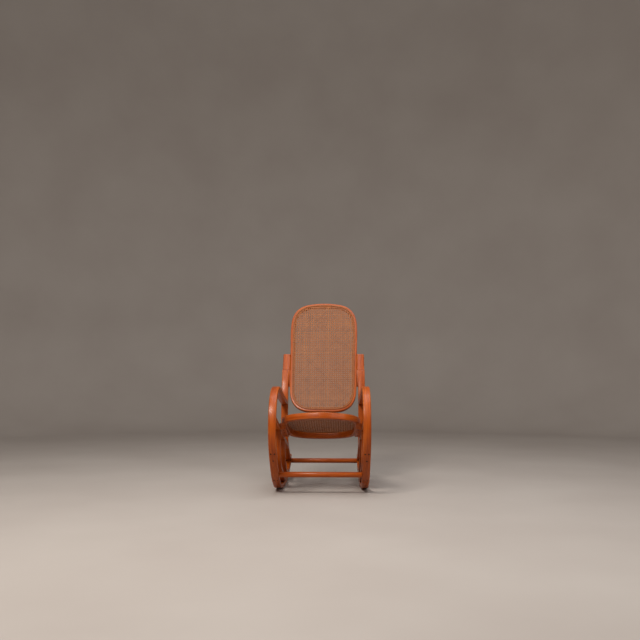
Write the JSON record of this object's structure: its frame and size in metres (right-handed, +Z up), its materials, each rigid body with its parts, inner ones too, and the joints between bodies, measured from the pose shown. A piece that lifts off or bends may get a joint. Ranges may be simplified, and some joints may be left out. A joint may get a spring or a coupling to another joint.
{
  "type": "rocking chair",
  "caption": "Low bentwood rocking chair with looped arms, curved runners, and a seat and reclined back of woven cane in bent rings.",
  "frame": {"origin": "middle of the chair's footprint box, on the floor", "axes": "+Z up, +X to the viewer's right as the viewer faces the chair, which faces -Y"},
  "size_m": [0.5028, 0.9484, 1.0478],
  "materials": {
    "bent_wood": "clear gloss varnish over honey-red beech",
    "woven_cane": "natural, slightly glossy rattan skin",
    "screw_steel": "darkened"
  },
  "bodies": {
    "root": {"arm_hoop_left": "bent_wood", "runner_left": "bent_wood", "stile_left": "bent_wood", "back_lug_left": "bent_wood", "seat_rail_left": "bent_wood", "front_strut_left": "bent_wood", "rear_strut_left": "bent_wood", "seat_cleat_left": "bent_wood", "arm_hoop_right": "bent_wood", "runner_right": "bent_wood", "stile_right": "bent_wood", "back_lug_right": "bent_wood", "seat_rail_right": "bent_wood", "front_strut_right": "bent_wood", "rear_strut_right": "bent_wood", "seat_cleat_right": "bent_wood", "seat_ring": "bent_wood", "back_ring": "bent_wood", "front_stretcher": "bent_wood", "rear_stretcher": "bent_wood", "seat_cane": "woven_cane", "back_cane": "woven_cane", "seat_binder": "woven_cane", "back_binder": "woven_cane", "scarf_screw_left_1": "screw_steel", "scarf_screw_left_2": "screw_steel", "scarf_screw_left_3": "screw_steel", "scarf_screw_left_4": "screw_steel", "scarf_screw_left_5": "screw_steel", "cleat_screw_left_1": "screw_steel", "cleat_screw_left_2": "screw_steel", "cleat_screw_left_3": "screw_steel", "lug_bolt_left_1": "screw_steel", "lug_bolt_left_2": "screw_steel", "scarf_screw_right_1": "screw_steel", "scarf_screw_right_2": "screw_steel", "scarf_screw_right_3": "screw_steel", "scarf_screw_right_4": "screw_steel", "scarf_screw_right_5": "screw_steel", "cleat_screw_right_1": "screw_steel", "cleat_screw_right_2": "screw_steel", "cleat_screw_right_3": "screw_steel", "lug_bolt_right_1": "screw_steel", "lug_bolt_right_2": "screw_steel"}
  },
  "joints": []
}
